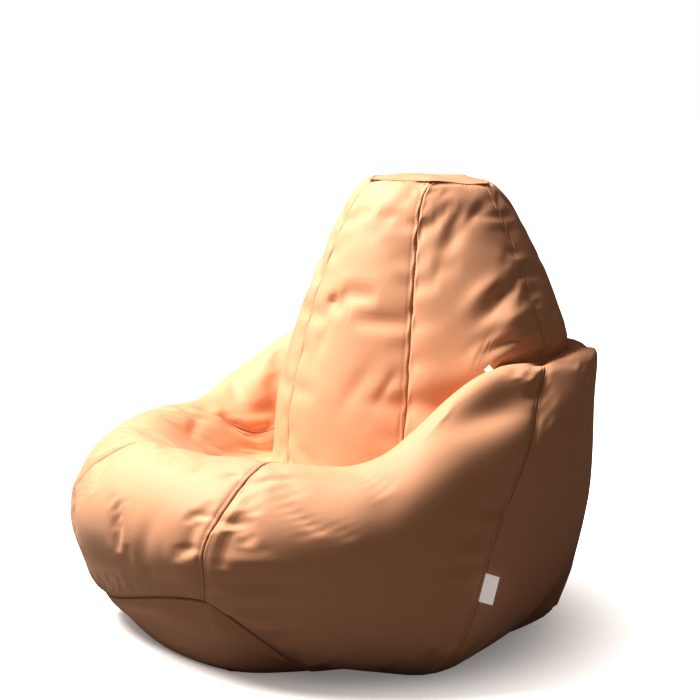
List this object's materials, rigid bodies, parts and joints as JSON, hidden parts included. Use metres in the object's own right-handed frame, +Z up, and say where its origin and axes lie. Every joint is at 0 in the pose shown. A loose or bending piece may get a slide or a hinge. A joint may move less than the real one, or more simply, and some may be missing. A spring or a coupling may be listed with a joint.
{
  "type": "bean bag chair",
  "caption": "High-backed bean bag lounge chair: a sewn panel cover with a bucket seat and raised rim over a bead-filled liner.",
  "frame": {"origin": "middle of the base, on the floor, below the middle of the base seam", "axes": "+Z up, the chair faces -Y and its backrest is towards +Y, +X is on the sitter's left"},
  "size_m": [0.985, 0.9956, 0.8658],
  "materials": {
    "cover_leatherette": "smooth tan coated cloth with a fine grain and a soft satin sheen",
    "stitching": "twisted polyester thread",
    "zip_tape": "woven polyester tape",
    "zip_teeth": "nylon coil",
    "zip_metal": "plated die-cast zinc",
    "label_cloth": "plain woven satin",
    "liner_cloth": "close plain weave",
    "liner_zip_teeth": "nylon coil",
    "beads": "expanded polystyrene beads"
  },
  "bodies": {
    "bag": {"front_panel": "cover_leatherette", "front_right_panel": "cover_leatherette", "back_right_panel": "cover_leatherette", "back_panel": "cover_leatherette", "back_left_panel": "cover_leatherette", "front_left_panel": "cover_leatherette", "base_panel": "cover_leatherette", "top_cap": "cover_leatherette", "side_seam_thread": "stitching", "base_seam_thread": "stitching", "cap_seam_thread": "stitching", "cover_zip_tape_upper": "zip_tape", "cover_zip_tape_lower": "zip_tape", "cover_zip_teeth_upper": "zip_teeth", "cover_zip_teeth_lower": "zip_teeth", "cover_zip_end_stops": "zip_metal", "carry_loop_tab": "cover_leatherette", "side_label": "label_cloth", "liner_side_wall": "liner_cloth", "liner_base": "liner_cloth", "liner_top": "liner_cloth", "liner_zip_tapes": "liner_cloth", "liner_zip_teeth": "liner_zip_teeth", "liner_zip_end_stops": "zip_metal", "bead_filling": "beads"},
    "zip_slider": {"cover_zip_slider": "zip_metal"},
    "zip_pull": {"cover_zip_pull": "zip_metal"},
    "inner_zip_slider": {"liner_zip_slider": "zip_metal"},
    "loop": {"carry_loop": "cover_leatherette"}
  },
  "joints": [
    {"name": "cover_zip_slide", "type": "slide", "parent": "bag", "child": "zip_slider", "axis": [1, 0, 0], "range_m": [-0.373, 0]},
    {"name": "zip_pull_hinge", "type": "hinge", "parent": "zip_slider", "child": "zip_pull", "pos_m": [0.18654, 0.37458, 0.02181], "axis": [0, -0.7071, -0.7071], "range_deg": [0, 180]},
    {"name": "liner_zip_slide", "type": "slide", "parent": "bag", "child": "inner_zip_slider", "axis": [1, 0, 0], "range_m": [-0.135, 0]},
    {"name": "carry_loop_hinge", "type": "hinge", "parent": "bag", "child": "loop", "pos_m": [-0.06207, 0.31133, 0.85332], "axis": [0.8387, 0.5446, 0], "range_deg": [0, 192]}
  ]
}
